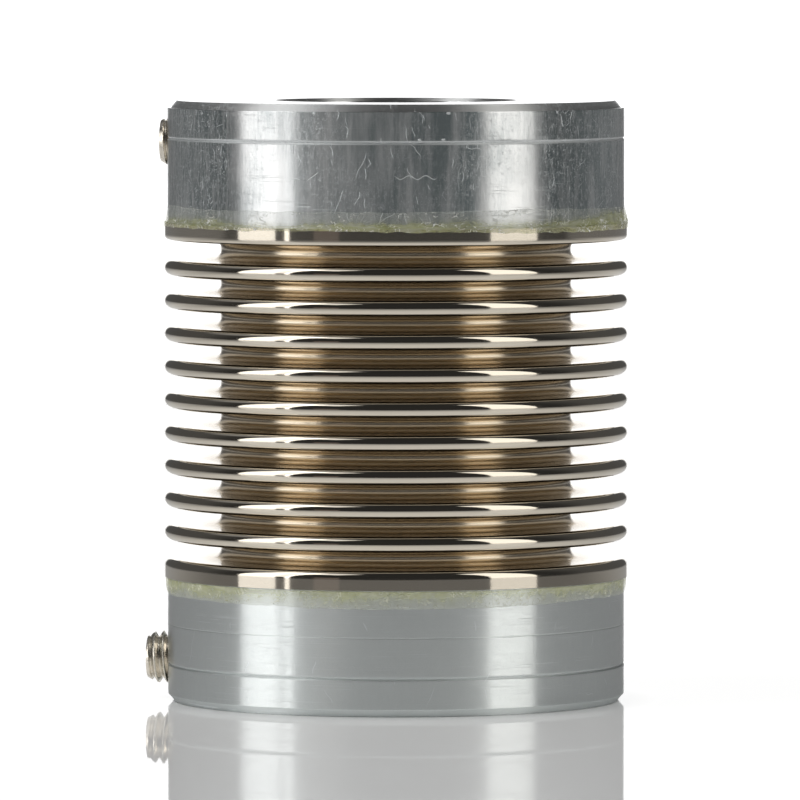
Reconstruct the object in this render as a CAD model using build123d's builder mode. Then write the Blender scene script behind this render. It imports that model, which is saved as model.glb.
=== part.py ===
from build123d import *
from math import radians, sqrt, tan
import os

# Bellows coupling: two set-screw hubs bonded into the cuffs of a thin-walled steel bellows.
# Millimetres. The axis is +Z, and the origin is the centre of the lower hub's outer face.

# Hubs
hub_diameter = 35.0
lower_hub_length = 10.88
upper_hub_length = 10.49
bore_diameter = 18.0
bore_chamfer = 0.25
rim_chamfer_width = 0.45  # measured radially
rim_chamfer_height = 0.55  # measured along the axis
lower_rim_ledge = 0.05  # flat step left outside the rim chamfer by the turning
upper_rim_ledge = 0.27
groove_offset = 2.87  # from the outer face to the bottom of the turned V-groove
groove_width = 0.23
groove_depth = 0.15

# Bellows
wall = 0.15
crest_count = 9
crest_pitch = 2.532
crest_width = 1.23  # over the outside of one crest, which is as wide across as the cuffs
root_diameter = 26.8
lower_end_gap = 1.35  # between the lower cuff and the first crest
upper_end_gap = 1.494  # between the last crest and the upper cuff
cuff_corner = 0.6  # outside radius where a cuff turns down over its hub
lower_cuff_height = 1.48
upper_cuff_height = 1.29

# Adhesive
bond_gap = 0.10  # radial, between a hub and the skirt of its cuff
bead_width = 0.20
bead_height = 0.95

# Set screws, M4 with a hexagon socket and a cup point
screw_diameter = 4.0
screw_length = 8.0
screw_clearance = 0.05  # radial, between the crests of the thread and the hole
screw_offset = 3.14  # from a hub's outer face to the screw's axis
lower_screw_stand = 1.67  # how far the screw is backed out of the hub
upper_screw_stand = 0.60
screw_end_chamfer = 0.32
screw_point_diameter = 2.0
cup_diameter = 1.6
cup_depth = 0.45
socket_width = 2.0  # across flats
socket_depth = 2.5
hole_countersink = 0.2

# Full rounds are drawn as parts of an octagon around them, which keeps the faces few.
# A round of radius r has bevels with legs of r times bevel_share, and a bevel's legs change
# by miter for each millimetre that its line is moved inwards.
bevel_share = 1 - tan(radians(22.5))
miter = 2 - sqrt(2)
cuff_bevel = cuff_corner * bevel_share
seat_bevel = cuff_bevel - wall * miter

# Places that follow from these
hub_radius = hub_diameter / 2
bore_radius = bore_diameter / 2
skirt_bore_radius = hub_radius + bond_gap
cuff_radius = skirt_bore_radius + wall
root_radius = root_diameter / 2
root_gap = crest_pitch - crest_width
lower_wall_z = lower_hub_length + wall  # the side of the lower cuff that faces the crests
crests_height = (crest_count - 1) * crest_pitch + crest_width
upper_wall_z = lower_wall_z + lower_end_gap + crests_height + upper_end_gap
overall_length = upper_wall_z + wall + upper_hub_length

# Each end is drawn in its own section plane: x is the radius, y the distance in from the face.
lower_section = Plane.XZ
upper_section = Plane(origin=(0, 0, overall_length), x_dir=(1, 0, 0), z_dir=(0, 1, 0))


def screw_seat(z):
    """The plane where a set screw enters its hub, facing out along -X."""
    return Plane(origin=(-hub_radius, 0, z), x_dir=(0, 1, 0), z_dir=(-1, 0, 0))


lower_screw_seat = screw_seat(screw_offset)
upper_screw_seat = screw_seat(overall_length - screw_offset)


def hub_section(plane, length, ledge):
    """Half section of a hub, with its rim chamfer, V-groove, bore chamfers and seat bevel."""
    chamfer_top = hub_radius - ledge
    with BuildSketch(plane) as section:
        with BuildLine():
            Polyline(
                (bore_radius, bore_chamfer),
                (bore_radius + bore_chamfer, 0),
                (chamfer_top - rim_chamfer_width, 0),
                (chamfer_top, rim_chamfer_height),
                (hub_radius, rim_chamfer_height),
                (hub_radius, groove_offset - groove_width / 2),
                (hub_radius - groove_depth, groove_offset),
                (hub_radius, groove_offset + groove_width / 2),
                (hub_radius, length - seat_bevel),
                (hub_radius - seat_bevel, length),
                (bore_radius + bore_chamfer, length),
                (bore_radius, length - bore_chamfer),
                close=True,
            )
        make_face()
    return section.sketch


def screw_hole():
    """Hole for a set screw, from the rim to the bore, with a light countersink."""
    hole_radius = screw_diameter / 2 + screw_clearance
    CounterSinkHole(
        radius=hole_radius,
        counter_sink_radius=hole_radius + hole_countersink,
        depth=hub_radius,
        counter_sink_angle=90,
    )


with BuildPart() as lower_hub:
    revolve(hub_section(lower_section, lower_hub_length, lower_rim_ledge), axis=Axis.Z)
    with Locations(lower_screw_seat):
        screw_hole()
lower_hub.part.label = "lower_hub"

with BuildPart() as upper_hub:
    revolve(hub_section(upper_section, upper_hub_length, upper_rim_ledge), axis=Axis.Z)
    with Locations(upper_screw_seat):
        screw_hole()
upper_hub.part.label = "upper_hub"


def fold(tip_radius, z, height, side, inset):
    """Points up one fold that starts at height z on the skin, moved inwards by inset.

    The fold bulges out where side is 1, and in where side is -1.
    """
    bevel = height / 2 * bevel_share - side * inset * miter
    tip = tip_radius - inset
    shoulder = tip - side * bevel
    low = z + side * inset
    high = z + height - side * inset
    return [(shoulder, low), (tip, low + bevel), (tip, high - bevel), (shoulder, high)]


def wall_line(inset):
    """Points of the wall's line from lip to lip: its skin where inset is 0, else inside it.

    They run up the lower cuff, then round roots and crests in turn, then up the upper cuff.
    """
    skirt = cuff_radius - inset
    corner = cuff_bevel - inset * miter
    low = lower_wall_z - inset
    high = upper_wall_z + inset
    points = [
        (skirt, lower_wall_z - lower_cuff_height),
        (skirt, low - corner),
        (skirt - corner, low),
    ]
    points += fold(root_radius, lower_wall_z, lower_end_gap, -1, inset)
    for crest in range(crest_count):
        crest_z = lower_wall_z + lower_end_gap + crest * crest_pitch
        gap = root_gap if crest < crest_count - 1 else upper_end_gap
        points += fold(cuff_radius, crest_z, crest_width, 1, inset)
        points += fold(root_radius, crest_z + crest_width, gap, -1, inset)
    points += [
        (skirt - corner, high),
        (skirt, high + corner),
        (skirt, upper_wall_z + upper_cuff_height),
    ]
    return points


# One formed tube: the wall has the same thickness all the way.
with BuildPart() as bellows:
    with BuildSketch(Plane.XZ):
        with BuildLine():
            Polyline(*wall_line(0), *reversed(wall_line(wall)), close=True)
        make_face()
    revolve(axis=Axis.Z)
bellows.part.label = "bellows"


def bond_section(plane, length, cuff_height):
    """Half section of an adhesive joint: the film under the skirt, and the bead at its lip."""
    lip = length + wall - cuff_height
    with BuildSketch(plane) as section:
        with BuildLine():
            Polyline(
                (hub_radius, lip - bead_height),
                (hub_radius + bead_width, lip),
                (skirt_bore_radius, lip),
                (skirt_bore_radius, length - seat_bevel),
                (hub_radius, length - seat_bevel),
                close=True,
            )
        make_face()
    return section.sketch


with BuildPart() as lower_adhesive:
    revolve(bond_section(lower_section, lower_hub_length, lower_cuff_height), axis=Axis.Z)
lower_adhesive.part.label = "lower_adhesive"

with BuildPart() as upper_adhesive:
    revolve(bond_section(upper_section, upper_hub_length, upper_cuff_height), axis=Axis.Z)
upper_adhesive.part.label = "upper_adhesive"


def set_screw(seat, stand):
    """A set screw along the seat's normal, which stands out of the hub by the given amount."""
    head = seat.offset(stand)
    point = seat.offset(stand - screw_length)
    with BuildPart() as screw:
        with BuildSketch(head):
            Circle(screw_diameter / 2)
        extrude(amount=-screw_length)
        ends = screw.edges().filter_by(GeomType.CIRCLE).sort_by(Axis.X)
        chamfer(ends[0], screw_end_chamfer)
        chamfer(ends[-1], (screw_diameter - screw_point_diameter) / 2)
        with BuildSketch(head):
            RegularPolygon(socket_width / 2, 6, major_radius=False)
        extrude(amount=-socket_depth, mode=Mode.SUBTRACT)
        with BuildSketch(point):
            Circle(cup_diameter / 2)
        extrude(amount=cup_depth, taper=45, mode=Mode.SUBTRACT)
    return screw.part


with BuildPart() as lower_set_screw:
    add(set_screw(lower_screw_seat, lower_screw_stand))
lower_set_screw.part.label = "lower_set_screw"

with BuildPart() as upper_set_screw:
    add(set_screw(upper_screw_seat, upper_screw_stand))
upper_set_screw.part.label = "upper_set_screw"

os.makedirs("parts", exist_ok=True)
export_step(lower_hub.part, "parts/lower_hub.step")
export_step(upper_hub.part, "parts/upper_hub.step")
export_step(bellows.part, "parts/bellows.step")
export_step(lower_adhesive.part, "parts/lower_adhesive.step")
export_step(upper_adhesive.part, "parts/upper_adhesive.step")
export_step(lower_set_screw.part, "parts/lower_set_screw.step")
export_step(upper_set_screw.part, "parts/upper_set_screw.step")
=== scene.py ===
import math

import bpy
import numpy as np
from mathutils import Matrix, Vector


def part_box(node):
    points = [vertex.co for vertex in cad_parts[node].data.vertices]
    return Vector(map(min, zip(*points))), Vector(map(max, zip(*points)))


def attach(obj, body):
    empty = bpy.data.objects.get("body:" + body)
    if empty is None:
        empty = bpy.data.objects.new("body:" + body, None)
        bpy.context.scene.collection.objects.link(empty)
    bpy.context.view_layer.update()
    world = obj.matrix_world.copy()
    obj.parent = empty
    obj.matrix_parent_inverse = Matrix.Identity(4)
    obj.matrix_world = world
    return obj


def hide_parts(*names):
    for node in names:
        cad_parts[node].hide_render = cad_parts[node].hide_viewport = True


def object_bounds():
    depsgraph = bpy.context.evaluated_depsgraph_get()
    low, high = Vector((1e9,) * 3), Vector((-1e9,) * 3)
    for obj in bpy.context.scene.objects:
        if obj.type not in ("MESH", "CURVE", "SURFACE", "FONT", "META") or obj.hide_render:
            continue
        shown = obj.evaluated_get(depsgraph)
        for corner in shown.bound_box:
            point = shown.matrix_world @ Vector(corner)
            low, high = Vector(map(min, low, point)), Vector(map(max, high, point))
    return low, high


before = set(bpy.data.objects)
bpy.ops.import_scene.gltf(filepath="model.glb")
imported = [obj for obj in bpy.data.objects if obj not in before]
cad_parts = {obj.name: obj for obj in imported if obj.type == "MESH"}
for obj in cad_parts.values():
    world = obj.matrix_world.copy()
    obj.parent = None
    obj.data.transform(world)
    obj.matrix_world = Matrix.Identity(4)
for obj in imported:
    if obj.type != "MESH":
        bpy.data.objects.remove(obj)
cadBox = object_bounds()
scene = bpy.context.scene
millimetre = 0.001
turn = 2 * math.pi

print("stage 1: frame loaded,", len(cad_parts), "nodes")


# Shapes


def nodeBox(node):
    low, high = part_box(node)
    return np.array(low) / millimetre, np.array(high) / millimetre


def roundedLine(corners, radii, steps, lead=0.1):
    # An open line whose inner corners become arcs: the centre lies on the corner's bisector,
    # radius / sin(half the corner) from it, and a lead point on each side keeps the flats flat.
    corners = np.asarray(corners, float)
    radii = np.broadcast_to(np.asarray(radii, float), len(corners) - 2)
    here = corners[1:-1]
    back, ahead = corners[:-2] - here, corners[2:] - here
    backLength = np.linalg.norm(back, axis=1)
    aheadLength = np.linalg.norm(ahead, axis=1)
    back, ahead = back / backLength[:, None], ahead / aheadLength[:, None]
    half = np.arccos(np.clip((back * ahead).sum(1), -1, 1)) / 2
    reach = radii / np.tan(half)
    middle = (back + ahead) / np.linalg.norm(back + ahead, axis=1)[:, None]
    centre = here + middle * (radii / np.sin(half))[:, None]
    arm = here + back * reach[:, None] - centre
    side = np.sign(back[:, 1] * ahead[:, 0] - back[:, 0] * ahead[:, 1])
    swing = (side * (math.pi - 2 * half))[:, None] * np.linspace(0, 1, steps + 1)
    arcX = arm[:, :1] * np.cos(swing) - arm[:, 1:] * np.sin(swing)
    arcY = arm[:, :1] * np.sin(swing) + arm[:, 1:] * np.cos(swing)
    arc = centre[:, None] + np.stack([arcX, arcY], -1)
    # lead points take at most a third of the flat that is left over
    spare = np.linalg.norm(np.diff(corners, axis=0), axis=1)
    padded = np.concatenate([[0], reach, [0]])
    spare = np.clip(spare - padded[:-1] - padded[1:], 0, None) / 3
    leadIn = here + back * (reach + np.minimum(lead, spare[:-1]))[:, None]
    leadOut = here + ahead * (reach + np.minimum(lead, spare[1:]))[:, None]
    middlePart = np.concatenate([leadIn[:, None], arc, leadOut[:, None]], 1).reshape(-1, 2)
    line = np.concatenate([corners[:1], middlePart, corners[-1:]])
    gaps = np.linalg.norm(np.diff(line, axis=0), axis=1)
    return line[np.concatenate([[True], gaps > 1e-4])]


def lathe(line, columns):
    # Each (radius, height) point of the line is carried round the upright axis.
    around = np.arange(columns) * turn / columns
    radius, height = line[:, :1], line[:, 1:]
    return np.stack(
        [radius * np.cos(around), radius * np.sin(around), height + 0 * around], -1
    )


def addSurface(name, points, closeRows=False, sharpAngle=35, weld=False):
    # Neighbouring rows and columns of the grid of points are joined by four-sided faces.
    # The columns always close on themselves, and the rows do so where closeRows is set.
    rows, columns = points.shape[:2]
    index = np.arange(rows * columns).reshape(rows, columns)
    lower = index if closeRows else index[:-1]
    upper = np.roll(index, -1, 0) if closeRows else index[1:]
    quads = np.stack([lower, np.roll(lower, -1, 1), np.roll(upper, -1, 1), upper], -1)
    mesh = bpy.data.meshes.new(name)
    places = points.reshape(-1, 3) * millimetre
    mesh.from_pydata(places.tolist(), [], quads.reshape(-1, 4).tolist())
    piece = bpy.data.objects.new(name, mesh)
    scene.collection.objects.link(piece)
    if weld:
        weldPoints(piece)
    smoothPiece(piece, sharpAngle)
    return piece


def weldPoints(piece):
    modifier = piece.modifiers.new("weld", "WELD")
    modifier.merge_threshold = 2e-7
    applyModifiers(piece)


def applyModifiers(piece):
    graph = bpy.context.evaluated_depsgraph_get()
    finished = bpy.data.meshes.new_from_object(piece.evaluated_get(graph))
    finished.name = piece.name
    piece.modifiers.clear()
    piece.data = finished


def smoothPiece(piece, sharpAngle):
    piece.data.shade_smooth()
    piece.data.set_sharp_from_angle(angle=math.radians(sharpAngle))


def finishPiece(piece, material, slot, *nodes):
    piece.data.materials.clear()
    piece.data.materials.append(material)
    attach(piece, "root")
    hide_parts(*nodes)


def ripple(around, seed, waves, fade):
    # A random curve that closes on itself: cosines with 1, 2, 3... whole waves round the ring,
    # each lower than the one before by the power fade; its mean height is 0, its spread 1.
    dice = np.random.default_rng(seed)
    count = np.arange(1, waves + 1)[:, None]
    height = count**-fade * dice.normal(size=(waves, 1))
    curve = (height * np.cos(count * around + dice.uniform(0, turn, (waves, 1)))).sum(0)
    return curve / curve.std()


# Helpers for materials


def addNode(tree, kind, inputs=None, **settings):
    made = tree.nodes.new(kind)
    for key, value in settings.items():
        setattr(made, key, value)
    for key, value in (inputs or {}).items():
        if isinstance(value, bpy.types.NodeSocket):
            tree.links.new(value, made.inputs[key])
        else:
            made.inputs[key].default_value = value
    return made


def sums(tree, operation, first, second=0.0, clamp=False):
    settings = {"operation": operation, "use_clamp": clamp}
    return addNode(tree, "ShaderNodeMath", {0: first, 1: second}, **settings).outputs[0]


def times(tree, first, second, clamp=False):
    return sums(tree, "MULTIPLY", first, second, clamp)


def plus(tree, first, second, clamp=False):
    return sums(tree, "ADD", first, second, clamp)


def minus(tree, first, second):
    return sums(tree, "SUBTRACT", first, second)


def highest(tree, first, second, clamp=False):
    return sums(tree, "MAXIMUM", first, second, clamp)


def ranged(tree, value, fromLow, fromHigh, toLow, toHigh, smooth=False):
    inputs = {0: value, 1: fromLow, 2: fromHigh, 3: toLow, 4: toHigh}
    kind = "SMOOTHSTEP" if smooth else "LINEAR"
    return addNode(tree, "ShaderNodeMapRange", inputs, interpolation_type=kind).outputs[0]


def mixed(tree, share, first, second):
    made = addNode(tree, "ShaderNodeMix", {0: share}, data_type="RGBA")
    for key, value in ((6, first), (7, second)):
        if isinstance(value, bpy.types.NodeSocket):
            tree.links.new(value, made.inputs[key])
        else:
            made.inputs[key].default_value = (*value, 1)
    return made.outputs[2]


def blended(tree, share, first, second):
    return addNode(tree, "ShaderNodeMix", {0: share, 2: first, 3: second}).outputs[0]


def vectorSum(tree, operation, first, second=None):
    # a calculation with vectors, whose result is a number for a length or a dot product
    inputs = {0: first} if second is None else {0: first, 1: second}
    made = addNode(tree, "ShaderNodeVectorMath", inputs, operation=operation)
    return made.outputs["Value" if operation in ("LENGTH", "DOT_PRODUCT") else "Vector"]


def grain(tree, place, stretch, detail=3.0, roughness=0.5, distortion=0.0, offset=0.0):
    # noise with so many grains a unit of the place along x, y and z as stretch says
    inputs = {"Vector": place, "Location": (offset,) * 3, "Scale": stretch}
    mapped = addNode(tree, "ShaderNodeMapping", inputs).outputs[0]
    inputs = {"Vector": mapped, "Scale": 1.0, "Detail": detail}
    inputs = {**inputs, "Roughness": roughness, "Distortion": distortion}
    return addNode(tree, "ShaderNodeTexNoise", inputs).outputs[0]


def bumped(tree, height, strength, distance):
    inputs = {"Strength": strength, "Distance": distance, "Height": height}
    return addNode(tree, "ShaderNodeBump", inputs).outputs[0]


def roundTangent(tree):
    # the direction round the upright axis, along which brushed metal shines
    made = addNode(tree, "ShaderNodeTangent", direction_type="RADIAL", axis="Z")
    return made.outputs[0]


def linkShader(tree, shader, inputs):
    for key, value in inputs.items():
        tree.links.new(value, shader.inputs[key])


def emptyTree(holder):
    holder.use_nodes = True
    holder.node_tree.nodes.clear()
    return holder.node_tree


def newMaterial(name, values):
    # A Principled shader with its plain values set on its own sockets.
    material = bpy.data.materials.new(name)
    tree = emptyTree(material)
    shader = addNode(tree, "ShaderNodeBsdfPrincipled", values)
    addNode(tree, "ShaderNodeOutputMaterial", {"Surface": shader.outputs[0]})
    place = addNode(tree, "ShaderNodeTexCoord").outputs["Object"]
    return material, tree, shader, place


# Hubs

# Noises on the hubs. stretch: grains a millimetre round, up and in.
hubGrains = {
    "streak": {"stretch": (7, 1.6, 1), "detail": 5, "roughness": 0.7, "distortion": 0.15},
    "mottle": {"stretch": (3.5, 2.2, 1), "detail": 6, "roughness": 0.75, "offset": 4},
    "patch": {"stretch": (0.16, 0.12, 1), "detail": 2, "roughness": 0.6, "offset": 9},
    "rings": {"stretch": (0.05, 16, 1), "detail": 4, "roughness": 0.7, "offset": 7},
    "ringBreaks": {"stretch": (0.35, 1.5, 1), "detail": 2, "offset": 6},
    "cluster": {"stretch": (0.55, 0.3, 1), "detail": 3, "roughness": 0.6, "offset": 17},
    "dark": {"stretch": (3.6, 0.3, 1), "detail": 5, "roughness": 0.7, "offset": 12},
    "bands": {"stretch": (0.9, 0.10, 1), "detail": 5, "roughness": 0.65, "offset": 14},
    "turning": {"stretch": (0.03, 11, 1), "detail": 3, "roughness": 0.6},
}

# Two levels of each noise, and the two shares that they become.
hubCuts = {
    "streak": (0.52, 0.62, 0.0, 0.7),
    "mottle": (0.54, 0.62, 0.0, 1.1),
    "patch": (0.38, 0.62, 0.0, 0.55),
    "rings": (0.58, 0.64, 0.0, 1.0),
    "ringBreaks": (0.46, 0.56, 0.0, 1.0),
    "cluster": (0.42, 0.56, 0.15, 1.0),
    "dark": (0.38, 0.56, 0.45, 1.0),
    "bands": (0.36, 0.62, 0.38, 1.0),
}

# Places and marks that both hubs share.
hubPattern = {
    # millimetres in from the side, over which the patterns of the side end
    "sideEnd": (0.6, 1.2),
    # millimetres round the hub: the middle between its two bright reflections, and how far
    # from there each reflection starts and ends, and the worn part starts, which past the
    # reflections is also painted shade
    "middle": 0.9,
    "brightStart": (6.6, 8.4),
    "brightEnd": (12.2, 14.0),
    "wornAndShadedStart": (12.0, 14.0),
    "wornAndShadedShare": (0.06, 0.8),
    # millimetres round the hub and shares between which the bands of painted shade grow
    "slowBands": (-4.0, 7.0, 0.75, 1.25),
    # nicks that lie anywhere, and hairlines and specks that crowd the worn spots: cell size,
    # length, width, share of the cells, lean, spread and shift
    "loose": [
        (1.6, 0.55, 0.04, 1.0, 0.0, 0.35, 1.7),
        (2.3, 0.8, 0.035, 0.6, 0.6, 1.6, 5.3),
        (5.5, 2.0, 0.035, 0.6, 0.2, 1.2, 8.9),
    ],
    "crowded": [
        (0.28, 0.05, 0.055, 0.6, 0.0, 1.5, 2.3),
        (0.95, 0.9, 0.05, 0.6, 0.0, 0.12, 6.1),
        (0.8, 0.3, 0.045, 0.6, 0.0, 1.5, 4.7),
        (0.34, 0.06, 0.07, 0.55, 0.0, 1.5, 3.1),
    ],
    # shares of the nicks on the end faces, and of the crowd in the bright reflections
    "faceNicks": 0.3,
    "brightCrowd": 0.08,
    # heights of the marks, the wavy scratch and the glints, before ridgeHeight multiplies them
    "markRidge": 0.25,
    "squiggleRidge": 0.5,
    "glintRidge": 2.2,
    "ridgeHeight": 16.0,
    "markDepth": 0.6,
    "streakHeight": 0.1,
    "frostCover": 0.75,
    "markTone": (0.96, 0.99, 1.0),
    "markRoughness": 0.6,
    "matteGrain": (30000, 30000, 30000),
    "matteRoughness": 0.5,
    "grooveHalf": (0.13, 0.22),
    "faceRoughness": 0.12,
    "bumpDistance": 3e-6,
}

# frost: how much the fine scuffs whiten, and frostRoughness how much they dull; nicks: share of
# the cells with a nick; lines: strength of the turning lines; turning: their relief; bands:
# how much the upright bands of painted shade darken; clean: the share of nicks left in the
# bright reflections; matte: grains too fine to see one by one; the darker tone is painted shade
# on the side away from the bright reflections, and the tone of the worn spots
hubFinish = {
    "upper": {
        "tone": (0.90, 0.91, 0.91),
        "frostTone": (0.95, 0.98, 0.99),
        # painted shade: the side away from the bright reflections, and the worn spots, take
        # this dark bluish tone
        "shadeAndWearTone": (0.305, 0.35, 0.36),
        "roughness": 0.30,
        "matte": 0.0,
        "frost": 1.0,
        "frostRoughness": 0.4,
        "nicks": 0.6,
        "crowded": True,
        "lines": 0.25,
        "turning": 0.1,
        "bands": 1.0,
        "clean": 0.0,
        # bright nicks on the rim and the groove's edge: millimetres round and up, half sizes
        "glints": [
            (-4.4, 45.36, 0.20, 0.14),
            (5.8, 45.36, 0.22, 0.15),
            (15.3, 45.36, 0.18, 0.14),
            (3.6, 43.36, 0.16, 0.15),
            (5.4, 43.38, 0.20, 0.13),
        ],
        "grooveHeight": 43.13,
        "grooveRough": 0.55,
        "squiggle": {
            "start": 1.6,
            "end": 5.0,
            "fade": 0.3,
            "height": 40.55,
            "wave": 0.14,
            "length": 1.25,
            "width": (0.07, 0.01),
        },
    },
    "lower": {
        "tone": (0.80, 0.84, 0.835),
        "frostTone": (0.90, 0.94, 0.93),
        # painted shade and wear: a slightly darker tone on the side and in the worn spots
        "shadeAndWearTone": (0.77, 0.81, 0.81),
        "roughness": 0.29,
        "matte": 0.22,
        "frost": 0.14,
        "frostRoughness": 0.15,
        "nicks": 0.10,
        "crowded": False,
        "lines": 0.9,
        "turning": 0.15,
        "bands": 0.0,
        "clean": 1.0,
        "glints": [],
        "grooveHeight": 2.87,
        "grooveRough": 0.2,
        "squiggle": None,
    },
}


def unrolledPlace(tree, place, radius):
    # millimetres round the hub from its front, with the seam at the back; millimetres up, plus
    # the millimetres in from the side, so that a pattern runs on over the end faces
    parts = addNode(tree, "ShaderNodeSeparateXYZ", {0: place}).outputs
    away = times(tree, parts[1], -1.0)
    around = times(tree, sums(tree, "ARCTAN2", parts[0], away), radius)
    up = sums(tree, "DIVIDE", parts[2], millimetre)
    level = vectorSum(tree, "MULTIPLY", place, (1, 1, 0))
    reach = vectorSum(tree, "LENGTH", level)
    inward = minus(tree, radius, sums(tree, "DIVIDE", reach, millimetre))
    run = plus(tree, up, inward)
    flat = addNode(tree, "ShaderNodeCombineXYZ", {0: around, 1: run}).outputs[0]
    return flat, around, up, inward


def cutGrain(tree, flat, name):
    return ranged(tree, grain(tree, flat, **hubGrains[name]), *hubCuts[name])


def nickLayer(tree, flat, cell, length, width, share, lean, spread, shift):
    # One slightly bent nick in a share of the cells of a Voronoi pattern. It leans by its own
    # random angle, and fades from its middle line to its width and at its length.
    bend = grain(tree, flat, (0.7, 0.7, 0.7), detail=1, offset=shift)
    bend = addNode(tree, "ShaderNodeCombineXYZ", {0: bend, 1: bend}).outputs[0]
    moved = vectorSum(tree, "ADD", flat, bend)
    moved = vectorSum(tree, "ADD", moved, (shift, 3 * shift, 0))
    inputs = {"Vector": moved, "Scale": 1 / cell}
    cells = addNode(tree, "ShaderNodeTexVoronoi", inputs, voronoi_dimensions="2D").outputs
    local = vectorSum(tree, "SUBTRACT", moved, cells["Position"])
    dice = addNode(tree, "ShaderNodeSeparateColor", {0: cells["Color"]}).outputs
    angle = ranged(tree, dice[0], 0, 1, lean - spread, lean + spread)
    inputs = {"Vector": local, "Angle": angle}
    turned = addNode(tree, "ShaderNodeVectorRotate", inputs, rotation_type="Z_AXIS")
    parts = addNode(tree, "ShaderNodeSeparateXYZ", {0: turned.outputs[0]}).outputs
    along = sums(tree, "ABSOLUTE", parts[1])
    across = sums(tree, "ABSOLUTE", parts[0])
    reach = ranged(tree, dice[1], 0, 1, 0.3 * length, length)
    inside = ranged(tree, across, width, 0.25 * width, 0.0, 1.0, True)
    past = minus(tree, along, reach)
    ends = ranged(tree, past, -0.4 * length, 0, 1.0, 0.0, True)
    chosen = sums(tree, "LESS_THAN", dice[2], share)
    return times(tree, times(tree, inside, ends), chosen)


def squiggleLine(tree, around, up, line):
    # a thin wavy scratch: the height follows a sine along the way round
    sway = sums(tree, "SINE", times(tree, around, turn / line["length"]))
    sway = times(tree, sway, line["wave"])
    lift = minus(tree, minus(tree, up, line["height"]), sway)
    thin = ranged(tree, sums(tree, "ABSOLUTE", lift), *line["width"], 0.0, 1.0, True)
    start = ranged(tree, around, line["start"], line["start"] + line["fade"], 0.0, 1.0)
    end = ranged(tree, around, line["end"] - line["fade"], line["end"], 1.0, 0.0)
    return times(tree, thin, times(tree, start, end))


def glintDome(tree, flat, around, up, halfWidth, halfHeight):
    # a smooth dome over an oval: its height falls with the distance from the middle, taken in
    # shares of the oval's half sizes
    away = vectorSum(tree, "SUBTRACT", flat, (around, up, 0))
    away = vectorSum(tree, "MULTIPLY", away, (1 / halfWidth, 1 / halfHeight, 0))
    return ranged(tree, vectorSum(tree, "LENGTH", away), 0.0, 1.0, 1.0, 0.0, True)


def hubMasks(tree, places):
    # Shares from 0 to 1. onSide is 0 on the end faces and in the bore. aside is also 0 in the
    # two bright reflections. patch is how worn the side is: noise, and more past them; it also
    # sets where the side takes painted shade.
    flat, around, up, inward = places
    onSide = ranged(tree, inward, *hubPattern["sideEnd"], 1.0, 0.0)
    side = sums(tree, "ABSOLUTE", minus(tree, around, hubPattern["middle"]))
    inner = ranged(tree, side, *hubPattern["brightStart"], 1.0, 0.0, True)
    outer = ranged(tree, side, *hubPattern["brightEnd"], 0.0, 1.0, True)
    aside = times(tree, highest(tree, inner, outer), onSide)
    past = ranged(tree, side, *hubPattern["wornAndShadedStart"], *hubPattern["wornAndShadedShare"], True)
    patch = plus(tree, cutGrain(tree, flat, "patch"), past, True)
    return onSide, aside, times(tree, patch, onSide)


def hubMarks(tree, look, places, masks):
    # The bright marks are the highest of the turning lines, the nicks, the hairlines and specks
    # of the worn spots, the wavy scratch, the glints and the rough groove. The ridges are the
    # marks that stand up from the side, at their heights.
    flat, around, up = places[:3]
    onSide, aside, patch = masks
    rings = cutGrain(tree, flat, "rings")
    rings = times(tree, rings, cutGrain(tree, flat, "ringBreaks"))
    marks = times(tree, rings, look["lines"])
    scattered = None
    for cell, length, width, share, *rest in hubPattern["loose"]:
        nicks = nickLayer(tree, flat, cell, length, width, look["nicks"] * share, *rest)
        scattered = highest(tree, scattered, nicks) if scattered else nicks
    kept = ranged(tree, aside, 0, 1, look["clean"], 1.0)
    scattered = times(tree, scattered, kept)
    kept = ranged(tree, onSide, 0, 1, hubPattern["faceNicks"], 1.0)
    scattered = times(tree, scattered, kept)
    marks = highest(tree, marks, scattered)
    if look["crowded"]:
        worn = times(tree, cutGrain(tree, flat, "cluster"), patch)
        kept = ranged(tree, aside, 0.0, 1.0, hubPattern["brightCrowd"], 1.0)
        worn = times(tree, worn, kept)
        for layer in hubPattern["crowded"]:
            crowd = times(tree, nickLayer(tree, flat, *layer), worn)
            marks = highest(tree, marks, crowd)
    ridges = times(tree, marks, hubPattern["markRidge"])
    if look["squiggle"]:
        squiggle = squiggleLine(tree, around, up, look["squiggle"])
        squiggle = times(tree, squiggle, onSide)
        marks = highest(tree, marks, squiggle)
        squiggle = times(tree, squiggle, hubPattern["squiggleRidge"])
        ridges = highest(tree, ridges, squiggle)
    for glint in look["glints"]:
        dome = times(tree, glintDome(tree, flat, *glint), hubPattern["glintRidge"])
        ridges = highest(tree, ridges, dome)
        marks = highest(tree, marks, dome, True)
    groove = sums(tree, "ABSOLUTE", minus(tree, up, look["grooveHeight"]))
    groove = ranged(tree, groove, *hubPattern["grooveHalf"], look["grooveRough"], 0.0, True)
    groove = times(tree, groove, onSide)
    return highest(tree, marks, groove), ridges


def hubWearAndPaintedShade(tree, look, places, masks, facing):
    # Painted shade with some wear: the higher of dark streaks in the worn spots, which grow
    # past the bright reflections, and broad upright bands of painted shade, kept out of the
    # reflections, which grow slowly from left to right. The slopes and faces take less of it,
    # so they stay brighter than the side.
    flat, around = places[:2]
    aside, patch = masks[1:]
    dark = times(tree, cutGrain(tree, flat, "dark"), patch)
    # painted shade: upright bands that darken the side but not the two bright reflections
    bands = times(tree, cutGrain(tree, flat, "bands"), look["bands"])
    slow = ranged(tree, around, *hubPattern["slowBands"])
    bands = times(tree, times(tree, bands, slow), aside)
    dark = highest(tree, dark, bands, True)
    # painted light: slopes and end faces, which catch the light from above, take less of the
    # shade
    return times(tree, dark, ranged(tree, facing, 0.1, 0.5, 1.0, 0.15))


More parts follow.
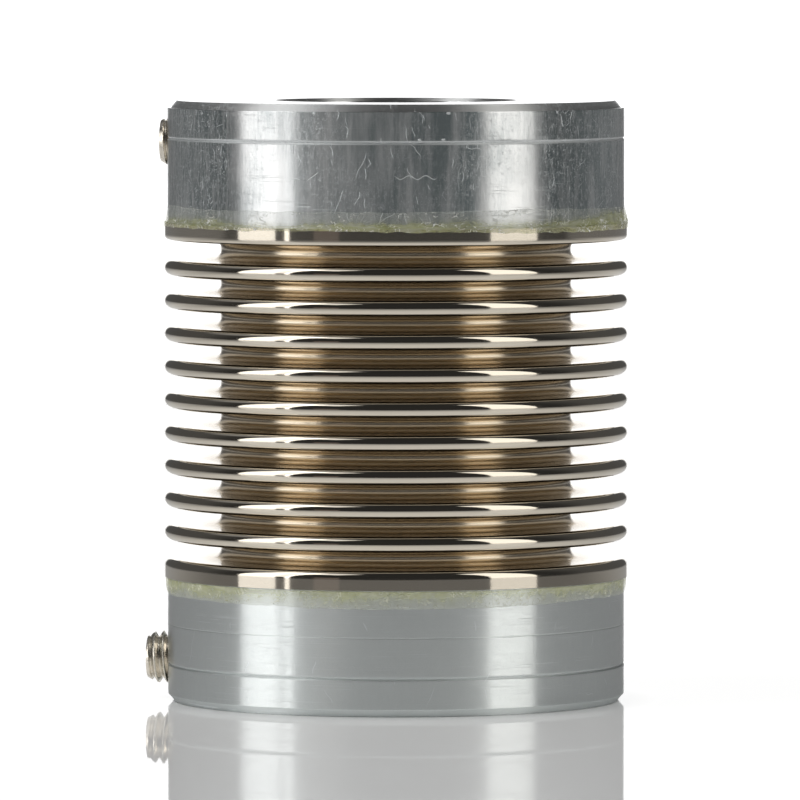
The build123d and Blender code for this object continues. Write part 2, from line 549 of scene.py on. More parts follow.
def hubMaterial(name, look, radius):
    # Brushed metal whose gloss runs round the hub. Frost and marks brighten and dull it,
    # painted shade and the worn spots' dark streaks darken it, and streaks, turning lines and
    # marks raise or sink its surface.
    values = {"Metallic": 1.0, "Anisotropic": 1.0, "Anisotropic Rotation": 0.25}
    material, tree, shader, place = newMaterial(name, values)
    places = unrolledPlace(tree, place, radius)
    masks = hubMasks(tree, places)
    flat, patch = places[0], masks[2]
    normal = addNode(tree, "ShaderNodeNewGeometry").outputs["Normal"]
    facing = addNode(tree, "ShaderNodeSeparateXYZ", {0: normal}).outputs[2]
    facing = sums(tree, "ABSOLUTE", facing)
    streak = grain(tree, flat, **hubGrains["streak"])
    frost = ranged(tree, streak, *hubCuts["streak"])
    frost = plus(tree, frost, cutGrain(tree, flat, "mottle"))
    frost = times(tree, times(tree, frost, patch), look["frost"], True)
    marks, ridges = hubMarks(tree, look, places, masks)
    dark = hubWearAndPaintedShade(tree, look, places, masks, facing)
    # painted shade: the side away from the bright reflections, and the worn spots, darken
    # towards the shade tone
    colour = mixed(tree, dark, look["tone"], look["shadeAndWearTone"])
    cover = times(tree, frost, hubPattern["frostCover"])
    colour = mixed(tree, cover, colour, look["frostTone"])
    colour = mixed(tree, marks, colour, hubPattern["markTone"])
    rough = times(tree, frost, look["frostRoughness"])
    rough = plus(tree, rough, times(tree, marks, hubPattern["markRoughness"]))
    if look["matte"]:
        speckle = grain(tree, place, hubPattern["matteGrain"], detail=1, offset=15)
        speckle = sums(tree, "GREATER_THAN", speckle, 0.5 + 0.16 * (0.5 - look["matte"]))
        rough = plus(tree, rough, times(tree, speckle, hubPattern["matteRoughness"]))
    slope = ranged(tree, facing, 0.3, 0.5, 0.0, 0.3)
    rough = plus(tree, plus(tree, rough, slope), look["roughness"], True)
    # the turned end faces are smoother than the sides
    flatFace = ranged(tree, facing, 0.9, 0.98, 0.0, 1.0)
    rough = blended(tree, flatFace, rough, hubPattern["faceRoughness"])
    turning = grain(tree, flat, **hubGrains["turning"])
    relief = times(tree, turning, look["turning"])
    streak = times(tree, streak, look["frost"] * hubPattern["streakHeight"])
    relief = plus(tree, relief, streak)
    relief = minus(tree, relief, times(tree, marks, hubPattern["markDepth"]))
    if look["glints"]:
        relief = plus(tree, relief, times(tree, ridges, hubPattern["ridgeHeight"]))
    bump = bumped(tree, relief, 1.0, hubPattern["bumpDistance"])
    inputs = {"Base Color": colour, "Roughness": rough, "Normal": bump}
    linkShader(tree, shader, {**inputs, "Tangent": roundTangent(tree)})
    return material


hubShape = {
    "columns": 384,
    "boreRadius": 9.0,
    "boreChamfer": 0.25,
    "chamferWidth": 0.45,
    "chamferHeight": 0.55,
    "fineLedge": 0.05,
    "wideLedge": 0.27,
    # radii of the edges, from the rim inwards
    "fineLedgeRounds": (0.012, 0.012),
    "wideLedgeRounds": (0.03, 0.01),
    "grooveRounds": (0.03, 0.02, 0.03),
    "scribeRounds": [0.02, 0.01, 0.02],
    "grooveOffset": 2.87,
    "grooveWidth": 0.26,
    "grooveDepth": 0.14,
    "scribeOffset": 5.95,
    "scribeWidth": 0.09,
    "scribeDepth": 0.02,
    "seatBevel": 0.26,
    "edgeRound": 0.03,
    "holeRadius": 2.05,
    "countersink": 0.2,
    "screwOffset": 3.14,
    "holeColumns": 96,
    "sharpAngle": 20,
}


def hubLine(radius, length, fine, shape):
    # Half section from the outer face (height 0) inwards, as a closed loop that starts there.
    bore, chamfer = shape["boreRadius"], shape["boreChamfer"]
    # the finer hub has a narrower ledge and a scribed line, and sharper edges at its ledge
    top = radius - (shape["fineLedge"] if fine else shape["wideLedge"])
    half, deep = shape["grooveWidth"] / 2, shape["grooveDepth"]
    groove, bevel = shape["grooveOffset"], shape["seatBevel"]
    scribed, across = shape["scribeOffset"], shape["scribeWidth"] / 2
    scribe = [
        (radius, scribed - across),
        (radius - shape["scribeDepth"], scribed),
        (radius, scribed + across),
    ]
    corners = [
        (bore + 4, 0),
        (top - shape["chamferWidth"], 0),
        (top, shape["chamferHeight"]),
        (radius, shape["chamferHeight"]),
        (radius, groove - half),
        (radius - deep, groove),
        (radius, groove + half),
        *(scribe if fine else []),
        (radius, length - bevel),
        (radius - bevel, length),
        (bore + chamfer, length),
        (bore, length - chamfer),
        (bore, chamfer),
        (bore + chamfer, 0),
        (bore + 3, 0),
    ]
    edge = shape["edgeRound"]
    ledgeRounds = shape["fineLedgeRounds"] if fine else shape["wideLedgeRounds"]
    radii = [edge, *ledgeRounds, *shape["grooveRounds"]]
    if fine:
        radii += shape["scribeRounds"]
    return roundedLine(corners, radii + [edge] * 6, steps=3)


def makeHub(name, node, faceDown, shape):
    low, high = nodeBox(node)
    radius, length = high[0], high[2] - low[2]
    line = hubLine(radius, length, faceDown, shape)
    if faceDown:
        line[:, 1] += low[2]
    else:
        line[:, 1] = high[2] - line[:, 1]
        line = line[::-1]
    hub = addSurface(name, lathe(line, shape["columns"]), closeRows=True)
    offset = shape["screwOffset"]
    holeHeight = low[2] + offset if faceDown else high[2] - offset
    cutHole(hub, holeHeight, radius, shape)
    return hub


def cutHole(hub, height, radius, shape):
    # The cutter is a lathe line laid along -X: a straight hole that opens out at the rim.
    hole, sink = shape["holeRadius"], shape["countersink"]
    rim = [(hole, radius - sink), (hole + sink + 2, radius + 2), (0, radius + 2)]
    upright = lathe(np.array([(0, 0), (hole, 0), *rim]), shape["holeColumns"])
    laid = np.stack([-upright[..., 2], upright[..., 1], upright[..., 0] + height], -1)
    cutter = addSurface("holeCutter", laid, weld=True)
    modifier = hub.modifiers.new("screwHole", "BOOLEAN")
    modifier.object = cutter
    modifier.operation = "DIFFERENCE"
    modifier.solver = "EXACT"
    applyModifiers(hub)
    bpy.data.objects.remove(cutter)
    smoothPiece(hub, shape["sharpAngle"])


lowerHub = makeHub("lowerHub", "lower_hub", True, hubShape)
upperHub = makeHub("upperHub", "upper_hub", False, hubShape)
hubRadius = nodeBox("lower_hub")[1][0]
turned = hubMaterial("turnedAluminium", hubFinish["lower"], hubRadius)
scuffed = hubMaterial("scuffedAluminium", hubFinish["upper"], hubRadius)
finishPiece(lowerHub, turned, "lower_hub", "lower_hub")
finishPiece(upperHub, scuffed, "upper_hub", "upper_hub")
print("stage 2: hubs,", len(lowerHub.data.polygons) + len(upperHub.data.polygons), "faces")


# Bellows

bellowsShape = {
    "columns": 150,
    "wall": 0.15,
    "crests": 9,
    "pitch": 2.532,
    "crestWidth": 1.23,
    "rootRadius": 13.4,
    "lowerCuff": 1.48,
    "upperCuff": 1.29,
    "lowerGap": 1.35,
    "upperGap": 1.494,
    "lowerCorner": 0.6,
    "upperCorner": 0.37,
    "outerSteps": 10,
    "innerSteps": 2,
}

bellowsFinish = {
    "tone": (0.63, 0.58, 0.495),
    "rootTone": (0.69, 0.60, 0.47),
    "roughness": 0.07,
    "rootRoughness": 0.20,
    "cloud": 0.02,
    "bump": 0.001,
}


def bellowsMaterial(look, crestRadius, rootRadius):
    # Bright formed steel. Its tone and roughness follow the depth below the crests: 0 there and
    # 1 at the roots.
    values = {"Metallic": 1.0, "Anisotropic": 0.4, "Anisotropic Rotation": 0.25}
    material, tree, shader, place = newMaterial("formedSteel", values)
    flat = addNode(tree, "ShaderNodeMapping", {"Vector": place, "Scale": (1, 1, 0)}).outputs[0]
    radius = vectorSum(tree, "LENGTH", flat)
    limits = rootRadius * millimetre, crestRadius * millimetre
    depth = ranged(tree, radius, *limits, 1.0, 0.0, True)
    lines = grain(tree, place, (30, 30, 5000), detail=2, roughness=0.5)
    cloud = grain(tree, place, (200, 200, 200), detail=4, offset=5)
    colour = mixed(tree, depth, look["tone"], look["rootTone"])
    rough = ranged(tree, depth, 0, 1, look["roughness"], look["rootRoughness"])
    rough = plus(tree, rough, times(tree, cloud, look["cloud"]))
    bump = bumped(tree, lines, look["bump"], 1e-5)
    inputs = {"Base Color": colour, "Roughness": rough, "Normal": bump}
    linkShader(tree, shader, {**inputs, "Tangent": roundTangent(tree)})
    return material


def bellowsCorners(shape, low, high, radius):
    # Corners of the skin from lip to lip, going up: a cuff, then roots and crests in turn, then
    # a cuff.
    root = shape["rootRadius"]
    foot = low + shape["lowerCuff"] + shape["lowerGap"]
    crestLow = foot + shape["pitch"] * np.arange(shape["crests"])
    crestHigh = crestLow + shape["crestWidth"]
    places = (root, crestLow), (radius, crestLow), (radius, crestHigh), (root, crestHigh)
    crest = [np.stack([far + 0 * height, height], -1) for far, height in places]
    crest = np.stack(crest, 1).reshape(-1, 2)
    start = low + shape["lowerCuff"]
    end = high - shape["upperCuff"]
    lower = [(radius, low), (radius, start), (root, start)]
    upper = [(root, end), (radius, end), (radius, high)]
    gap = shape["pitch"] - shape["crestWidth"]
    rootRounds = np.full(shape["crests"] + 1, gap / 2)
    rootRounds[0], rootRounds[-1] = shape["lowerGap"] / 2, shape["upperGap"] / 2
    tip = shape["crestWidth"] / 2
    rounds = np.empty((shape["crests"], 4))
    rounds[:, 0], rounds[:, 3] = rootRounds[:-1], rootRounds[1:]
    rounds[:, 1:3] = tip
    ends = [shape["lowerCorner"], rootRounds[0]], [rootRounds[-1], shape["upperCorner"]]
    radii = np.concatenate([ends[0], rounds.ravel(), ends[1]])
    return np.concatenate([lower, crest, upper]), radii


def insideLine(corners, radii, wall):
    # The same corners moved in by the wall: each goes along both of its edges' inward normals.
    edges = np.diff(corners, axis=0)
    edges = edges / np.linalg.norm(edges, axis=1)[:, None]
    inward = np.stack([-edges[:, 1], edges[:, 0]], -1)
    moved = corners.copy()
    moved[:-1] += inward * wall
    moved[1:] += inward * wall
    bend = edges[:-1, 0] * edges[1:, 1] - edges[:-1, 1] * edges[1:, 0]
    return moved, radii - wall * np.sign(bend)


def makeBellows(name, node, shape):
    low, high = nodeBox(node)
    radius = high[0]
    corners, radii = bellowsCorners(shape, low[2], high[2], radius)
    inner, innerRadii = insideLine(corners, radii, shape["wall"])
    skin = roundedLine(corners, radii, shape["outerSteps"])
    inside = roundedLine(inner, innerRadii, shape["innerSteps"])[::-1]
    line = np.concatenate([skin, inside])
    return addSurface(name, lathe(line, shape["columns"]), closeRows=True, sharpAngle=60)


bellows = makeBellows("foldedSkin", "bellows", bellowsShape)
cuffLow, cuffHigh = nodeBox("bellows")
steel = bellowsMaterial(bellowsFinish, cuffHigh[0], bellowsShape["rootRadius"])
finishPiece(bellows, steel, "bellows", "bellows")
print("stage 3: bellows,", len(bellows.data.polygons), "faces")


# Adhesive

adhesiveShape = {
    "columns": 1100,
    "rows": 26,
    "gap": 0.095,
    "underSkirt": 1.0,
    "ragged": 0.05,
    "lumps": 0.07,
    # how deep the ring's inside lies under the hub's side, and how thick the film may be at its
    # last three rows
    "sunk": 0.012,
    "edgeThick": [[0.013], [0.008], [0.003]],
}

beads = {
    # film: how far the thin film reaches from the cuff's lip, and how thick it is; bead: how
    # high and how far along the thick part goes; lap: how far it covers the cuff's lip; wide:
    # how much the bead grows about the angle, in degrees from the right
    "lower": {
        "film": 1.3,
        "filmHeight": 0.03,
        "bead": 0.11,
        "beadReach": 0.8,
        "lap": 0.0,
        "wide": 0.15,
        "angle": -15,
        "seed": 11,
    },
    "upper": {
        "film": 1.35,
        "filmHeight": 0.02,
        "bead": 0.14,
        "beadReach": 0.46,
        "lap": 0.28,
        "wide": 0.8,
        "angle": -8,
        "seed": 23,
    },
}

adhesiveFinish = {
    # clear and solid: how much the thinnest film and the thickest bead hide what is under them
    "lower": {
        "tone": (0.85, 0.86, 0.56),
        "deepTone": (0.78, 0.80, 0.36),
        "filmTone": (0.84, 0.86, 0.72),
        "clear": 0.20,
        "solid": 0.52,
        "threads": 0.5,
        "rim": 0.12,
        "paleTone": (0.95, 0.96, 0.93),
    },
    "upper": {
        "tone": (0.86, 0.87, 0.62),
        "deepTone": (0.80, 0.82, 0.38),
        "filmTone": (0.82, 0.85, 0.77),
        "clear": 0.15,
        "solid": 0.54,
        "threads": 1.0,
        "rim": 0.12,
        "paleTone": (0.95, 0.96, 0.93),
    },
}


def lumpField(around, share, seed, count=90):
    # random waves over the band: each is the cosine of a whole number of turns plus a slant
    # across the band, and the sum is scaled to a spread of 1
    dice = np.random.default_rng(seed)
    waves = dice.integers(12, 200, (count, 1, 1))
    slant = dice.normal(0, 4, (count, 1, 1))
    phase = dice.uniform(0, turn, (count, 1, 1))
    field = np.cos(waves * around[None, None] + slant * share[None, :, None] + phase)
    field = (field / waves**0.35).sum(0)
    return field / field.std()


def makeAdhesive(name, hubRadius, cuffRadius, lip, way, bead, shape):
    # A ring whose section starts under the cuff's skirt, may lap over its lip, swells into a
    # bead, thins to a film along the hub and stops at a ragged edge. way is 1 up, -1 down.
    around = np.arange(shape["columns"]) * turn / shape["columns"]
    flat = np.ones(shape["columns"])
    share = np.linspace(0, 1, shape["rows"])
    facing = np.cos(around - math.radians(bead["angle"]))
    broad = bead["wide"] * np.clip((facing - 0.8) / 0.2, 0, 1)
    reach = bead["film"] * (1 + shape["ragged"] * ripple(around, bead["seed"], 120, 0.9))
    reach = np.clip(reach, 0.72 * bead["film"], 1.3 * bead["film"])
    field = lumpField(around, share, bead["seed"] + 1)
    along = share[:, None] * reach
    swell = bead["beadReach"] * (1 + broad)
    swell = swell * (1 + 0.16 * ripple(around, bead["seed"] + 2, 90, 0.8))
    swell = np.clip(swell, 0.2, 1.2)
    fall = np.exp(-((along / swell) ** 2))
    lumps = 1 + shape["lumps"] * np.clip(field, -1.8, 2.4)
    thick = bead["bead"] * (1 + broad) * fall * lumps
    thick = bead["filmHeight"] * (1 + 0.3 * field) + thick
    thick = np.clip(thick, 0.01, 0.3)
    thick[-3:] = np.minimum(thick[-3:], shape["edgeThick"])
    sunk = hubRadius - shape["sunk"]
    inside = hubRadius + shape["gap"]
    under = lip - way * shape["underSkirt"]
    start = [(sunk, under), (inside, under)]
    if bead["lap"]:
        lap = bead["lap"] * (1 + 0.25 * ripple(around, bead["seed"] + 3, 90, 0.5))
        lap = np.clip(lap, 0.5 * bead["lap"], 1.6 * bead["lap"])
        skirt = cuffRadius - shape["sunk"]
        start += [(inside, lip + way * 0.01), (skirt, lip + way * 0.01)]
        start += [(skirt, lip - way * lap), (cuffRadius + 0.012, lip - way * (lap - 0.01))]
        start += [(cuffRadius + 0.035, lip - way * 0.6 * lap), (cuffRadius + 0.04, lip)]
        over = np.exp(-((along / 0.2) ** 2))
        thick = np.maximum(thick, over * (cuffRadius + 0.045 - hubRadius))
    else:
        # a fine crevice under the lip
        start += [(inside, lip - way * 0.02)]
        thick[0], thick[1] = 0.02, 0.07
    first = np.array([np.stack([r * flat, h * flat], -1) for r, h in start])
    outside = np.stack([hubRadius + thick, lip + way * along], -1)
    last = np.stack([flat * sunk, lip + way * (reach + 0.01)], -1)[None]
    ring = np.concatenate([first, outside, last])
    depth = np.concatenate([np.full((len(start), 1), 1.0) * flat, thick / 0.2, 0 * flat[None]])
    if bead["lap"]:
        depth[-len(thick) - 5 : -len(thick) - 1] = 0.55
    edge = np.concatenate([0 * first[..., 0], share[:, None] * flat, flat[None]])
    if way < 0:
        ring, depth, edge = ring[::-1], depth[::-1], edge[::-1]
    points = np.stack(
        [ring[..., 0] * np.cos(around), ring[..., 0] * np.sin(around), ring[..., 1]], -1
    )
    piece = addSurface(name, points, closeRows=True, sharpAngle=70)
    for title, values in (("depth", depth), ("edge", edge)):
        made = piece.data.attributes.new(title, "FLOAT", "POINT")
        made.data.foreach_set("value", np.clip(values, 0, 1).astype(np.float32).ravel())
    return piece


def adhesiveMaterial(name, look, radius):
    # Its cover and its tones follow the body: the film's thickness, uneven by two noises. Pale
    # threads and a pale rim cover more.
    material, tree, shader, place = newMaterial(name, {"IOR": 1.5})
    flat = unrolledPlace(tree, place, radius)[0]
    depth, edge = [
        addNode(tree, "ShaderNodeAttribute", attribute_name=title).outputs["Fac"]
        for title in ("depth", "edge")
    ]
    cloud = grain(tree, flat, (0.55, 1.9, 1), detail=6, roughness=0.62, distortion=0.5)
    fine = grain(tree, flat, (7, 8, 1), detail=4, roughness=0.65, offset=2)
    # stray threads: the lines where a noise passes its middle value, kept in patches
    settings = {"detail": 2.5, "roughness": 0.55, "distortion": 1.2, "offset": 5}
    loops = grain(tree, flat, (1.1, 1.6, 1), **settings)
    loops = sums(tree, "ABSOLUTE", minus(tree, loops, 0.5))
    threads = ranged(tree, loops, 0.022, 0.006, 0.0, 1.0, True)
    patches = grain(tree, flat, (0.5, 0.9, 1), detail=2, offset=8)
    threads = times(tree, threads, ranged(tree, patches, 0.45, 0.55, 0.0, 1.0))
    threads = times(tree, threads, look["threads"])
    rim = times(tree, ranged(tree, edge, 0.90, 0.95, 0.0, 1.0, True), look["rim"])
    rim = times(tree, rim, ranged(tree, patches, 0.4, 0.6, 0.4, 1.0))
    pale = highest(tree, threads, rim)
    full = ranged(tree, depth, 0.05, 0.9, 0.0, 1.0, True)
    broad = grain(tree, flat, (0.09, 0.4, 1), detail=3, roughness=0.6, offset=11)
    full = times(tree, full, ranged(tree, broad, 0.38, 0.58, 0.45, 1.1))
    uneven = ranged(tree, cloud, 0.38, 0.62, -0.3, 0.3)
    body = plus(tree, full, times(tree, uneven, full), True)
    cover = ranged(tree, body, 0.0, 1.0, look["clear"], look["solid"])
    cover = plus(tree, cover, times(tree, pale, 0.75), True)
    share = ranged(tree, cloud, 0.4, 0.6, 0.0, 1.0)
    colour = mixed(tree, share, look["deepTone"], look["tone"])
    colour = mixed(tree, ranged(tree, body, 0.0, 0.4, 1.0, 0.0), colour, look["filmTone"])
    colour = mixed(tree, pale, colour, look["paleTone"])
    rough = ranged(tree, fine, 0.3, 0.7, 0.22, 0.5)
    relief = plus(tree, cloud, times(tree, fine, 0.12))
    relief = plus(tree, relief, times(tree, pale, 0.5))
    bump = bumped(tree, relief, 0.45, 6e-5)
    inputs = {"Base Color": colour, "Alpha": cover, "Roughness": rough, "Normal": bump}
    linkShader(tree, shader, inputs)
    return material


lowerAdhesive = makeAdhesive(
    "lowerAdhesive", hubRadius, cuffHigh[0], cuffLow[2], -1, beads["lower"], adhesiveShape
)
upperAdhesive = makeAdhesive(
    "upperAdhesive", hubRadius, cuffHigh[0], cuffHigh[2], 1, beads["upper"], adhesiveShape
)
paleAdhesive = adhesiveMaterial("paleAdhesive", adhesiveFinish["lower"], hubRadius)
yellowAdhesive = adhesiveMaterial("yellowAdhesive", adhesiveFinish["upper"], hubRadius)
finishPiece(lowerAdhesive, paleAdhesive, "lower_adhesive", "lower_adhesive")
finishPiece(upperAdhesive, yellowAdhesive, "upper_adhesive", "upper_adhesive")
print("stage 4: adhesive,", len(lowerAdhesive.data.polygons), "faces a ring")


# Set screws

screwShape = {
    "columns": 72,
    "pitch": 0.7,
    "threadDepth": 0.42,
    "rowsPerPitch": 24,
    "headChamfer": 0.42,
    "headSlope": 0.6,
    "pointRadius": 1.0,
    "cupRadius": 0.8,
    "cupDepth": 0.45,
    "socketWidth": 2.0,
    "socketDepth": 2.5,
    # share of a turn by which each thread starts later
    "lowerStart": 0.3,
    "upperStart": 0.55,
}

screwFinish = {"tone": (0.80, 0.75, 0.66), "dark": 0.72, "roughness": 0.17, "dull": 0.15}

# one pitch of the thread from crest to crest: share of the pitch, share of the depth
threadLine = np.array(
    [(0, 0), (0.05, 0.01), (0.09, 0.08), (0.4, 0.9), (0.45, 0.98), (0.5, 1.0)]
)


def makeScrew(name, node, shape, start):
    # Rings along the screw, from the middle of the cup point to the bottom of the socket.
    # The thread's radius at a height depends on height / pitch less the share of a turn.
    low, high = nodeBox(node)
    radius, length = (high[2] - low[2]) / 2, high[0] - low[0]
    around = np.arange(shape["columns"]) * turn / shape["columns"]
    flat = np.ones_like(around)
    count = int(length / shape["pitch"] * shape["rowsPerPitch"])
    height = np.linspace(0, length, count)[:, None]
    phase = (height / shape["pitch"] - around / turn + start) % 1.0
    share = np.interp(np.minimum(phase, 1 - phase), *threadLine.T)
    thread = radius - shape["threadDepth"] * share
    head = radius - shape["headChamfer"] + shape["headSlope"] * (length - height)
    point = shape["pointRadius"] + height
    thread = np.minimum(thread, np.minimum(head, point))
    # the hexagon's radius repeats every sixth of a turn
    sixth = (around + turn / 12) % (turn / 6) - turn / 12
    hexagon = shape["socketWidth"] / 2 / np.cos(sixth)
    mouth = radius - shape["headChamfer"]
    floor = length - shape["socketDepth"]
    cup, tip = shape["cupRadius"], shape["pointRadius"]
    rings = [
        (0.0 * flat, shape["cupDepth"]),
        (0.1 * flat, shape["cupDepth"] - 0.03),
        ((cup - 0.02) * flat, 0.02),
        (cup * flat, 0.0),
        ((cup + 0.02) * flat, 0.0),
        ((tip - 0.02) * flat, 0.0),
    ]
    ends = [
        ((mouth - 0.02) * flat, length),
        (hexagon + 0.09, length),
        (hexagon + 0.06, length),
        (hexagon, length - 0.06),
        (hexagon, length - 0.1),
        (hexagon, floor + 0.03),
        (hexagon, floor),
        (hexagon - 0.03, floor - 0.01),
        (0.2 * flat, floor - 0.28),
        (0.0 * flat, floor - 0.33),
    ]
    radii = np.concatenate([[r for r, h in rings], thread, [r for r, h in ends]])
    heights = np.concatenate([[h for r, h in rings], height[:, 0], [h for r, h in ends]])
    points = np.stack(
        [
            high[0] - heights[:, None] + 0 * radii,
            radii * np.sin(around),
            (low[2] + high[2]) / 2 + radii * np.cos(around),
        ],
        -1,
    )
    return addSurface(name, points, sharpAngle=50, weld=True)


def screwMaterial(look):
    # Steel that a cloudy noise darkens and dulls, with fine lines across the screw.
    material, tree, shader, place = newMaterial("machinedSteel", {"Metallic": 1.0})
    cloud = grain(tree, place, (900, 2500, 2500), detail=5, roughness=0.6)
    share = ranged(tree, cloud, 0.35, 0.7, 0.0, 1.0)
    colour = mixed(tree, share, look["tone"], tuple(look["dark"] * c for c in look["tone"]))
    rough = ranged(tree, share, 0, 1, look["roughness"], look["roughness"] + look["dull"])
    lines = grain(tree, place, (14000, 300, 300), detail=3, offset=1)
    bump = bumped(tree, lines, 0.2, 1e-5)
    linkShader(tree, shader, {"Base Color": colour, "Roughness": rough, "Normal": bump})
    return material


screwSteel = screwMaterial(screwFinish)
lowerStart, upperStart = screwShape["lowerStart"], screwShape["upperStart"]
lowerScrew = makeScrew("lowerSetScrew", "lower_set_screw", screwShape, lowerStart)
upperScrew = makeScrew("upperSetScrew", "upper_set_screw", screwShape, upperStart)
finishPiece(lowerScrew, screwSteel, "set_screws", "lower_set_screw")
finishPiece(upperScrew, screwSteel, "set_screws", "upper_set_screw")
print("stage 5: set screws,", len(lowerScrew.data.polygons), "faces each")


# Camera

cameraPlace = {
    "azimuth": 6.0,
    "distance": 750.0,
    "height": 60.9,
    "aimHeight": 23.0,
    "aimRight": 0.31,
    "lens": 440.6,
}


def makeCamera(spot):
    angle = math.radians(spot["azimuth"])
    towards = np.array([math.sin(angle), -math.cos(angle), 0])
    right = np.array([math.cos(angle), math.sin(angle), 0])
    aim = right * spot["aimRight"] + np.array([0, 0, spot["aimHeight"]])
    place = towards * spot["distance"] + right * spot["aimRight"]
    place[2] = spot["height"]
    data = bpy.data.cameras.new("camera")
    data.lens = spot["lens"]
    data.clip_start, data.clip_end = 0.05, 20
    camera = bpy.data.objects.new("camera", data)
    scene.collection.objects.link(camera)
    camera.location = place * millimetre
    direction = Vector((aim - place).tolist())
    camera.rotation_euler = direction.to_track_quat("-Z", "Y").to_euler()
    scene.camera = camera
    return towards, right


towards, right = makeCamera(cameraPlace)


# Stage and light, in metres

stageLook = {
    "floorHalf": 2.5,
    "floorRoughness": 0.02,
    "floorTone": 0.85,
    # glow of the table: metres from the coupling's axis, strength; behind it stays bright
    "tableGlow": [
        (0.0, 0.5),
        (0.045, 0.5),
        (0.08, 0.38),
        (0.15, 0.14),
        (0.3, 0.05),
        (1.0, 0.03),
    ],
    "tableShown": 0.58,
    # shade where the coupling stands: metres from its axis, share of the light
    "contact": [(0.01705, 0.15), (0.0173, 0.7), (0.020, 1.0)],
    "backdropDistance": 0.95,
    "backdropWidth": 0.30,
    "backdropHeight": 0.6,
    "backdropGlow": 1.4,
    "roomShown": 1.25,
    "roomGlow": 0.03,
    "behindGlow": 0.09,
    "overheadGlow": 0.25,
    "overheadLean": 17,
    "overheadLeft": 0.38,
    "softboxDistance": 1.35,
}

# Each softbox: angle from the camera's side, positive to the right, and width, in degrees;
# height, and lift above the table, in metres; rise in degrees; glow; tint. One with a rise
# leans over the coupling, at that many degrees above the table.
softboxes = {
    "leftSoftbox": (-73.1, 22.6, 2.5, 0.002, 0, 2.1, (1, 0.99, 0.98)),
    "leftFiller": (-59.1, 5.4, 2.35, 0.15, 0, 1.5, (1, 0.99, 0.98)),
    "leftStrip": (-55.2, 2.5, 2.5, 0.002, 0, 2.9, (1, 0.99, 0.98)),
    "rightSoftbox": (60.7, 26.3, 2.5, 0.002, 0, 1.65, (1, 0.98, 0.94)),
    "upperSoftbox": (-60, 32, 0.4, 0.0, 58, 1.2, (1, 0.99, 0.98)),
    "warmCard": (-34.5, 13, 0.25, 0.002, 0, 0.13, (1, 0.8, 0.72)),
}


def stagePlane(name, corners):
    mesh = bpy.data.meshes.new(name)
    mesh.from_pydata([tuple(c) for c in corners], [], [(0, 1, 2, 3)])
    plane = bpy.data.objects.new(name, mesh)
    scene.collection.objects.link(plane)
    return plane


def floorMaterial(look):
    # A glossy white table: a mirror layer by Fresnel over white that also glows, so that the
    # table reads white, and that darkens in front where the light doesn't reach.
    material = bpy.data.materials.new("whiteTable")
    tree = emptyTree(material)
    place = addNode(tree, "ShaderNodeTexCoord").outputs["Object"]
    ahead = vectorSum(tree, "DOT_PRODUCT", place, tuple(towards))
    distance = vectorSum(tree, "LENGTH", place)
    glow = rampNode(tree, distance, look["tableGlow"])
    behind = ranged(tree, ahead, -0.02, -0.12, 0.0, 1.0, True)
    shown = blended(tree, seen(tree, behind), glow, look["tableShown"])
    shown = times(tree, shown, rampNode(tree, distance, look["contact"]))
    tone = (look["floorTone"],) * 3 + (1,)
    white = addNode(tree, "ShaderNodeBsdfDiffuse", {"Color": tone})
    light = addNode(tree, "ShaderNodeEmission", {"Strength": shown})
    body = addNode(tree, "ShaderNodeAddShader", {0: white.outputs[0], 1: light.outputs[0]})
    mirror = addNode(tree, "ShaderNodeBsdfGlossy", {"Roughness": look["floorRoughness"]})
    fresnel = addNode(tree, "ShaderNodeFresnel", {"IOR": 1.5})
    inputs = {0: fresnel.outputs[0], 1: body.outputs[0], 2: mirror.outputs[0]}
    surface = addNode(tree, "ShaderNodeMixShader", inputs)
    addNode(tree, "ShaderNodeOutputMaterial", {"Surface": surface.outputs[0]})
    return material


def seen(tree, behind):
    # 1 where the camera looks, and for mirrored and refracted rays the share that lies behind
    path = addNode(tree, "ShaderNodeLightPath").outputs
    mirrored = highest(tree, path["Is Glossy Ray"], path["Is Transmission Ray"])
    mirrored = times(tree, mirrored, behind)
    return highest(tree, path["Is Camera Ray"], mirrored)


def rampNode(tree, value, stops):
    # a value that follows the stops, given as (input, output) pairs
    reach = stops[-1][0]
    ramp = addNode(tree, "ShaderNodeValToRGB", {0: ranged(tree, value, 0, reach, 0, 1)})
    elements = ramp.color_ramp.elements
    for _ in stops[2:]:
        elements.new(0.5)
    for element, (where, level) in zip(elements, stops):
        element.position = where / reach
        element.color = (level, level, level, 1)
    return ramp.outputs[0]


def glowMaterial(name, strength):
    material = bpy.data.materials.new(name)
    tree = emptyTree(material)
    light = addNode(tree, "ShaderNodeEmission", {"Strength": strength})
    addNode(tree, "ShaderNodeOutputMaterial", {"Surface": light.outputs[0]})
    return material


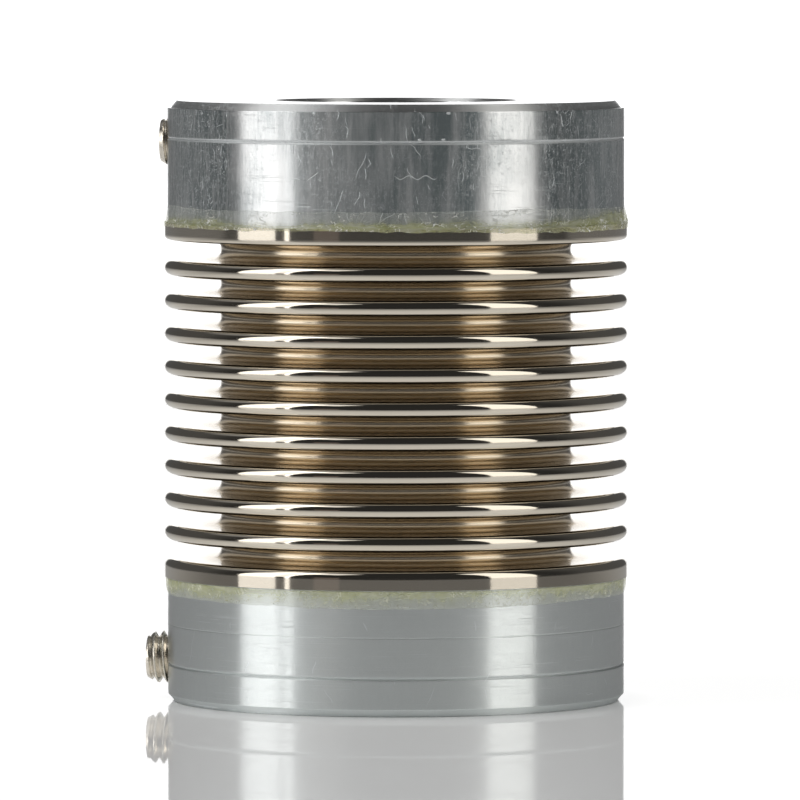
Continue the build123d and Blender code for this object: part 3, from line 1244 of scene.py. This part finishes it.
def makeStage(look):
    half = look["floorHalf"]
    signs = (-1, -1), (1, -1), (1, 1), (-1, 1)
    floor = stagePlane("table", [(half * x, half * y, cadBox[0].z) for x, y in signs])
    floor.data.materials.append(floorMaterial(look))
    middle = -towards * look["backdropDistance"]
    side = right * look["backdropWidth"] / 2
    rise = np.array([0, 0, look["backdropHeight"]])
    corners = [middle - side, middle + side, middle + side + rise, middle - side + rise]
    backdrop = stagePlane("backdrop", corners)
    backdrop.data.materials.append(glowMaterial("backdropWhite", look["backdropGlow"]))
    world = bpy.data.worlds.new("room")
    scene.world = world
    tree = emptyTree(world)
    direction = addNode(tree, "ShaderNodeTexCoord").outputs["Generated"]
    lean = math.radians(look["overheadLean"])
    overhead = np.array([0, 0, math.cos(lean)]) - towards * math.sin(lean)
    overhead = overhead - right * look["overheadLeft"]
    overhead = overhead / np.linalg.norm(overhead)
    over = vectorSum(tree, "DOT_PRODUCT", direction, tuple(overhead))
    back = vectorSum(tree, "DOT_PRODUCT", direction, tuple(-towards))
    room = ranged(tree, back, -0.1, 0.5, look["roomGlow"], look["behindGlow"], True)
    overGlow = ranged(tree, over, 0.84, 0.95, 0.0, look["overheadGlow"], True)
    room = plus(tree, room, overGlow)
    behind = ranged(tree, back, 0.97, 0.99, 0.0, 1.0, True)
    strength = blended(tree, seen(tree, behind), room, look["roomShown"])
    inputs = {"Strength": strength, "Color": (1, 1, 1, 1)}
    light = addNode(tree, "ShaderNodeBackground", inputs)
    addNode(tree, "ShaderNodeOutputWorld", {"Surface": light.outputs[0]})


def makeSoftbox(name, distance, angle, width, height, lift, rise, glow, tint):
    angle, rise = math.radians(angle), math.radians(rise)
    direction = towards * math.cos(angle) + right * math.sin(angle)
    direction = direction * math.cos(rise) + np.array([0, 0, math.sin(rise)])
    width = 2 * distance * math.tan(math.radians(width / 2))
    data = bpy.data.lights.new(name, "AREA")
    data.shape = "RECTANGLE"
    data.size, data.size_y = width, height
    data.energy = glow * math.pi * width * height
    data.color = tint
    lamp = bpy.data.objects.new(name, data)
    scene.collection.objects.link(lamp)
    stand = 0.0 if rise else height / 2 + lift
    lamp.location = direction * distance + np.array([0, 0, stand])
    facing = Vector((-direction).tolist())
    lamp.rotation_euler = facing.to_track_quat("-Z", "Y").to_euler()
    lamp.visible_camera = False


makeStage(stageLook)
for name, values in softboxes.items():
    makeSoftbox(name, stageLook["softboxDistance"], *values)
scene.view_settings.view_transform = "Standard"
print("stage 6: camera, table and light")
